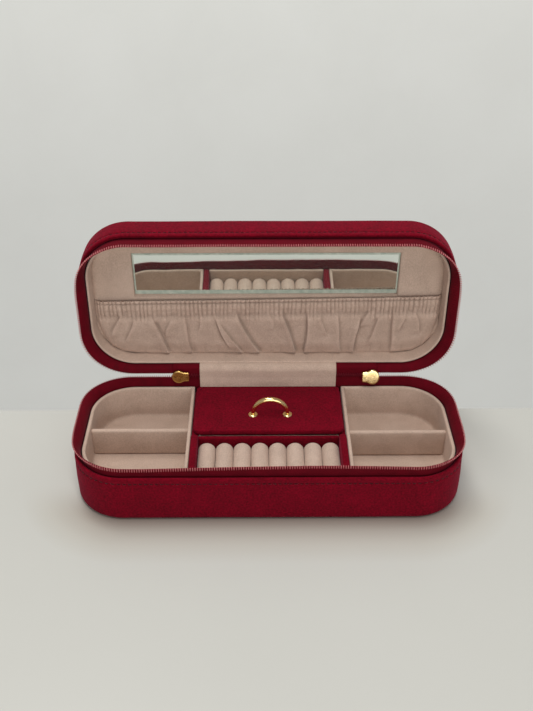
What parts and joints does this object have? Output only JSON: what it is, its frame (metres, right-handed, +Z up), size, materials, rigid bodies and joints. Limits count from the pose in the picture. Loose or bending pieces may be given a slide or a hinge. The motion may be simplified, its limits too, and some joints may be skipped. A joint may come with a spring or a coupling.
{
  "type": "travel jewelry case",
  "caption": "Zip-around velvet travel jewelry case with divided lined base, ring rolls, small inner lid with arch handle, and a lid holding a mirror and gathered pocket.",
  "frame": {"origin": "centre of the base's flat underside", "axes": "+Z up, -Y towards the front opening side, +X towards the right-hand end seen from the front"},
  "size_m": [0.2106, 0.1054, 0.1238],
  "materials": {
    "velvet": "crimson short-nap velvet",
    "lining": "beige brushed suede lining",
    "board": "grey board",
    "foam": "soft padding",
    "zip_tape": "woven polyester tape",
    "zip_coil": "nylon coil",
    "gold": "polished gold plate",
    "screw_steel": "plain steel",
    "mirror_glass": "silvered glass"
  },
  "bodies": {
    "base": {"base_cover": "velvet", "base_wall_board": "board", "base_floor_board": "board", "base_floor_foam": "foam", "base_zip_tape": "zip_tape", "base_zip_coil": "zip_coil", "liner_left": "lining", "liner_right": "lining", "divider_left": "lining", "divider_right": "lining", "module_side_left": "velvet", "module_side_right": "velvet", "module_partition": "velvet", "rear_box_liner": "lining", "ring_bed": "lining", "ring_front_lining": "lining", "inner_lid_hinge": "velvet", "hinge_band": "zip_tape", "hinge_strip": "lining", "rear_chain_left": "zip_coil", "rear_chain_right": "zip_coil", "ring_roll_1": "lining", "ring_roll_2": "lining", "ring_roll_3": "lining", "ring_roll_4": "lining", "ring_roll_5": "lining", "ring_roll_6": "lining", "ring_roll_7": "lining", "ring_roll_8": "lining"},
    "lid": {"lid_cover": "velvet", "lid_wall_board": "board", "lid_back_board": "board", "lid_back_foam": "foam", "lid_panel": "lining", "lid_rim_lining": "lining", "mirror_glass": "mirror_glass", "mirror_backing": "foam", "pocket_fabric": "lining", "pocket_elastic": "lining", "lid_zip_tape": "zip_tape", "lid_zip_coil": "zip_coil"},
    "inner_lid": {"inner_lid_cover": "velvet", "inner_lid_board": "board", "inner_lid_lining": "lining", "handle_arch": "gold", "handle_washers": "gold", "handle_screws": "screw_steel"},
    "slider_left_body": {"slider_left": "gold"},
    "slider_right_body": {"slider_right": "gold"},
    "pull_left_body": {"pull_left": "gold"},
    "pull_right_body": {"pull_right": "gold"}
  },
  "joints": [
    {"name": "lid_hinge", "type": "hinge", "parent": "base", "child": "lid", "pos_m": [0, 0.04015, 0.04055], "axis": [1, 0, 0], "range_deg": [0, 90]},
    {"name": "inner_lid_hinge", "type": "hinge", "parent": "base", "child": "inner_lid", "pos_m": [0, 0.03845, 0.0279], "axis": [1, 0, 0], "range_deg": [-80, 0]},
    {"name": "slider_left_slide", "type": "slide", "parent": "base", "child": "slider_left_body", "axis": [-1, 0, 0], "range_m": [-0.003, 0.013]},
    {"name": "slider_right_slide", "type": "slide", "parent": "base", "child": "slider_right_body", "axis": [1, 0, 0], "range_m": [-0.0119, 0.0041]},
    {"name": "pull_left_swing", "type": "hinge", "parent": "slider_left_body", "child": "pull_left_body", "pos_m": [-0.0505, 0.04385, 0.0339], "axis": [1, 0, 0], "range_deg": [0, 80]},
    {"name": "pull_right_swing", "type": "hinge", "parent": "slider_right_body", "child": "pull_right_body", "pos_m": [0.0594, 0.04385, 0.0339], "axis": [1, 0, 0], "range_deg": [0, 80]}
  ]
}
